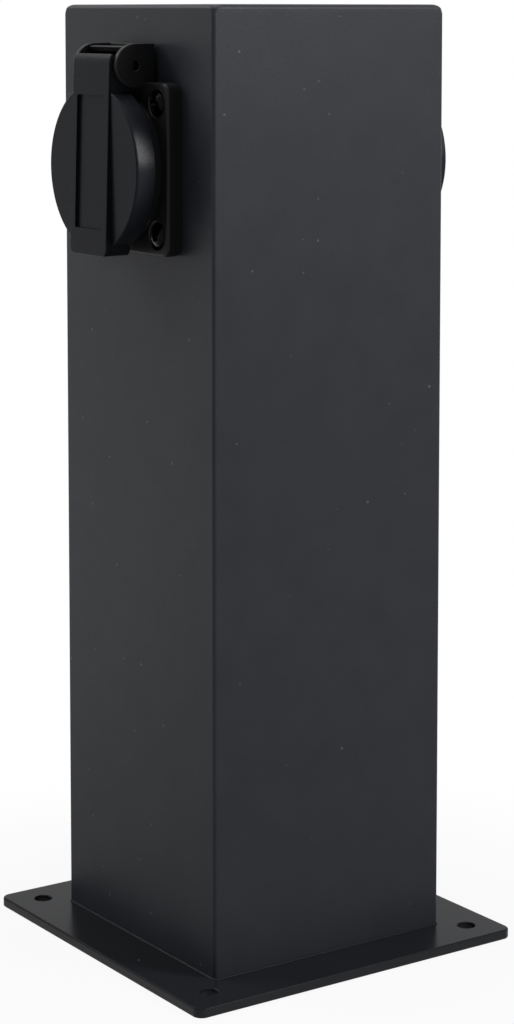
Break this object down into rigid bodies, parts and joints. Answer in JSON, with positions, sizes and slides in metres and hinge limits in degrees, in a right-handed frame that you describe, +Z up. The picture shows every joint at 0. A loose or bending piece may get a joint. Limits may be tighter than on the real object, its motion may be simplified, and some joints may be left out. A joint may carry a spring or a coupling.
{
  "type": "garden socket post",
  "caption": "Square powder-coated garden socket post on a bolt-down base plate, with spring-lidded earthed outdoor sockets on opposite faces near its top.",
  "frame": {"origin": "centre of the base plate's underside, on the ground", "axes": "+Z up, -Y out of the front socket, +Y out of the rear socket, X along the sockets' faces"},
  "size_m": [0.115, 0.1156, 0.285],
  "materials": {
    "powder_coat": "fine-grained satin powder coat, near black",
    "black_plastic": "finely textured moulded plastic, black",
    "insert_plastic": "smooth moulded plastic, black",
    "seal_rubber": "soft black rubber",
    "screw_steel": "bright plated steel",
    "zinc_steel": "zinc plated",
    "brass": "plain brass",
    "block_plastic": "off-white",
    "live_wire": "brown",
    "neutral_wire": "blue",
    "earth_wire": "green and yellow"
  },
  "bodies": {
    "post": {"column": "powder_coat", "top_plate": "powder_coat", "base_plate": "powder_coat", "base_weld": "powder_coat", "terminal_bracket": "zinc_steel", "terminal_block": "block_plastic", "block_clamps": "brass", "block_clamp_screws": "zinc_steel", "block_fixing_screws": "zinc_steel", "earth_stud": "zinc_steel", "earth_lug": "zinc_steel", "earth_washer": "zinc_steel", "earth_nut": "zinc_steel", "post_earth_wire": "earth_wire", "front_live_wire": "live_wire", "front_neutral_wire": "neutral_wire", "front_earth_wire": "earth_wire", "front_gasket": "seal_rubber", "front_housing": "black_plastic", "front_flange_screws": "screw_steel", "front_insert": "insert_plastic", "front_insert_cover": "insert_plastic", "front_live_contact": "brass", "front_neutral_contact": "brass", "front_earth_contact": "brass", "front_terminal_screws": "zinc_steel", "front_hinge_pin": "zinc_steel", "front_lid_spring": "zinc_steel", "rear_live_wire": "live_wire", "rear_neutral_wire": "neutral_wire", "rear_earth_wire": "earth_wire", "rear_gasket": "seal_rubber", "rear_housing": "black_plastic", "rear_flange_screws": "screw_steel", "rear_insert": "insert_plastic", "rear_insert_cover": "insert_plastic", "rear_live_contact": "brass", "rear_neutral_contact": "brass", "rear_earth_contact": "brass", "rear_terminal_screws": "zinc_steel", "rear_hinge_pin": "zinc_steel", "rear_lid_spring": "zinc_steel"},
    "front_flap": {"front_lid": "black_plastic", "front_lid_seal": "seal_rubber"},
    "rear_flap": {"rear_lid": "black_plastic", "rear_lid_seal": "seal_rubber"}
  },
  "joints": [
    {"name": "front_lid_hinge", "type": "hinge", "parent": "post", "child": "front_flap", "pos_m": [0, -0.04895, 0.2673], "axis": [-1, 0, 0], "range_deg": [0, 100], "stiffness_Nm_per_rad": 0.02, "springref_deg": -57.3, "deforming": ["front_lid_spring"]},
    {"name": "rear_lid_hinge", "type": "hinge", "parent": "post", "child": "rear_flap", "pos_m": [0, 0.04895, 0.2673], "axis": [1, 0, 0], "range_deg": [0, 100], "stiffness_Nm_per_rad": 0.02, "springref_deg": -57.3, "deforming": ["rear_lid_spring"]}
  ]
}
